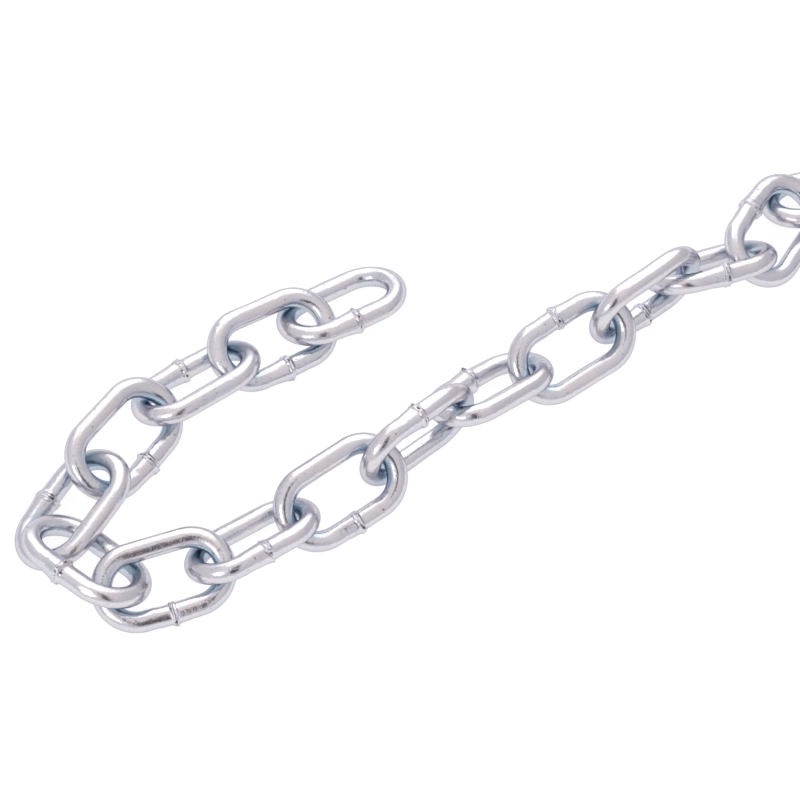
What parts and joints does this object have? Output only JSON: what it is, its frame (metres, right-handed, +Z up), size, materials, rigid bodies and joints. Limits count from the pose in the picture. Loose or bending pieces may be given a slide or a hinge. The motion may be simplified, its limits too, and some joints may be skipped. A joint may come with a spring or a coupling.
{
  "type": "welded steel chain",
  "caption": "Length of welded oval-link steel chain with a bright zinc finish, lying loose with one turn; its links swing in one another, for hanging, tethering or fencing off.",
  "frame": {"origin": "middle of the bounding box, on the floor that the chain lies on", "axes": "+X along the lay's longer side, from the free end's side towards the far end; +Y across it on the floor, away from the picture's viewer; +Z straight up from the floor"},
  "size_m": [0.2706, 0.1922, 0.0218],
  "materials": {
    "bright_zinc": "bright zinc plating, satin to glossy, drawn wire with bend and weld marks"
  },
  "bodies": {
    "link_01": {"link_01": "bright_zinc"},
    "link_02": {"link_02": "bright_zinc"},
    "link_03": {"link_03": "bright_zinc"},
    "link_04": {"link_04": "bright_zinc"},
    "link_05": {"link_05": "bright_zinc"},
    "link_06": {"link_06": "bright_zinc"},
    "link_07": {"link_07": "bright_zinc"},
    "link_08": {"link_08": "bright_zinc"},
    "link_09": {"link_09": "bright_zinc"},
    "link_10": {"link_10": "bright_zinc"},
    "link_11": {"link_11": "bright_zinc"},
    "link_12": {"link_12": "bright_zinc"},
    "link_13": {"link_13": "bright_zinc"},
    "link_14": {"link_14": "bright_zinc"},
    "link_15": {"link_15": "bright_zinc"},
    "link_16": {"link_16": "bright_zinc"},
    "link_17": {"link_17": "bright_zinc"},
    "link_18": {"link_18": "bright_zinc"},
    "link_19": {"link_19": "bright_zinc"},
    "link_20": {"link_20": "bright_zinc"},
    "link_21": {"link_21": "bright_zinc"},
    "link_22": {"link_22": "bright_zinc"},
    "link_23": {"link_23": "bright_zinc"},
    "link_24": {"link_24": "bright_zinc"},
    "link_25": {"link_25": "bright_zinc"}
  },
  "joints": [
    {"name": "swing_02", "type": "hinge", "parent": "link_01", "child": "link_02", "pos_m": [-0.0703, 0.04234, 0.0058], "axis": [0.2831, -0.3027, 0.9101], "range_deg": [-40, 40]},
    {"name": "swing_03", "type": "hinge", "parent": "link_02", "child": "link_03", "pos_m": [-0.08871, 0.02924, 0.00711], "axis": [0.2881, -0.372, -0.8824], "range_deg": [-40, 40]},
    {"name": "swing_04", "type": "hinge", "parent": "link_03", "child": "link_04", "pos_m": [-0.10668, 0.01426, 0.0075], "axis": [0.4461, -0.3124, 0.8387], "range_deg": [-40, 40]},
    {"name": "swing_05", "type": "hinge", "parent": "link_04", "child": "link_05", "pos_m": [-0.11826, -0.00446, 0.0068], "axis": [0.3372, -0.0748, -0.9385], "range_deg": [-15, 40]},
    {"name": "swing_06", "type": "hinge", "parent": "link_05", "child": "link_06", "pos_m": [-0.1225, -0.02039, 0.00666], "axis": [0.3081, 0.4138, 0.8566], "range_deg": [-40, 15]},
    {"name": "swing_07", "type": "hinge", "parent": "link_06", "child": "link_07", "pos_m": [-0.10564, -0.03091, 0.00578], "axis": [-0.0952, 0.3459, -0.9334], "range_deg": [-40, 40]},
    {"name": "swing_08", "type": "hinge", "parent": "link_07", "child": "link_08", "pos_m": [-0.0846, -0.02261, 0.00691], "axis": [-0.2966, 0.4568, 0.8387], "range_deg": [-40, 40]},
    {"name": "swing_09", "type": "hinge", "parent": "link_08", "child": "link_09", "pos_m": [-0.06414, -0.01033, 0.00732], "axis": [-0.2469, 0.5424, -0.803], "range_deg": [-40, 40]},
    {"name": "swing_10", "type": "hinge", "parent": "link_09", "child": "link_10", "pos_m": [-0.04564, 0.00358, 0.01094], "axis": [-0.6555, 0.755, 0.0174], "range_deg": [-40, 40]},
    {"name": "swing_11", "type": "hinge", "parent": "link_10", "child": "link_11", "pos_m": [-0.0279, 0.01903, 0.00875], "axis": [0.2094, -0.4738, -0.8554], "range_deg": [-40, 40]},
    {"name": "swing_12", "type": "hinge", "parent": "link_11", "child": "link_12", "pos_m": [-0.00824, 0.03141, 0.00732], "axis": [0.2374, -0.5467, 0.803], "range_deg": [-40, 40]},
    {"name": "swing_13", "type": "hinge", "parent": "link_12", "child": "link_13", "pos_m": [0.01036, 0.04446, 0.01095], "axis": [0.6158, -0.7877, -0.0174], "range_deg": [-40, 40]},
    {"name": "swing_14", "type": "hinge", "parent": "link_13", "child": "link_14", "pos_m": [0.02665, 0.05723, 0.00817], "axis": [-0.1821, 0.5895, 0.7869], "range_deg": [-40, 40]},
    {"name": "swing_15", "type": "hinge", "parent": "link_14", "child": "link_15", "pos_m": [0.0465, 0.067, 0.00624], "axis": [-0.3838, 0.2123, -0.8987], "range_deg": [-40, 40]},
    {"name": "swing_16", "type": "hinge", "parent": "link_15", "child": "link_16", "pos_m": [0.05777, 0.08296, 0.00526], "axis": [-0.1567, 0.3148, 0.9361], "range_deg": [-40, 40]},
    {"name": "swing_17", "type": "hinge", "parent": "link_16", "child": "link_17", "pos_m": [0.08006, 0.08621, 0.00798], "axis": [0.111, 0.5635, -0.8187], "range_deg": [-40, 40]},
    {"name": "swing_18", "type": "hinge", "parent": "link_17", "child": "link_18", "pos_m": [0.10112, 0.07944, 0.0056], "axis": [0.2714, 0.2811, 0.9205], "range_deg": [-40, 40]},
    {"name": "swing_19", "type": "hinge", "parent": "link_18", "child": "link_19", "pos_m": [0.11517, 0.06191, 0.00678], "axis": [0.5081, 0.1534, -0.8475], "range_deg": [-40, 40]},
    {"name": "swing_20", "type": "hinge", "parent": "link_19", "child": "link_20", "pos_m": [0.12119, 0.03986, 0.00641], "axis": [0.4848, 0, 0.8746], "range_deg": [-40, 40]},
    {"name": "swing_21", "type": "hinge", "parent": "link_20", "child": "link_21", "pos_m": [0.12036, 0.01691, 0.00683], "axis": [0.4493, -0.0803, -0.8898], "range_deg": [-40, 40]},
    {"name": "swing_22", "type": "hinge", "parent": "link_21", "child": "link_22", "pos_m": [0.11625, -0.00553, 0.00678], "axis": [0.5299, 0.0296, 0.8475], "range_deg": [-40, 40]},
    {"name": "swing_23", "type": "hinge", "parent": "link_22", "child": "link_23", "pos_m": [0.11802, -0.02833, 0.00702], "axis": [0.475, 0.1568, -0.8659], "range_deg": [-40, 40]},
    {"name": "swing_24", "type": "hinge", "parent": "link_23", "child": "link_24", "pos_m": [0.12447, -0.05032, 0.00628], "axis": [0.4683, 0.0327, 0.8829], "range_deg": [-40, 40]},
    {"name": "swing_25", "type": "hinge", "parent": "link_24", "child": "link_25", "pos_m": [0.12544, -0.07278, 0.00669], "axis": [0.4106, -0.0294, -0.9113], "range_deg": [-40, 40]}
  ]
}
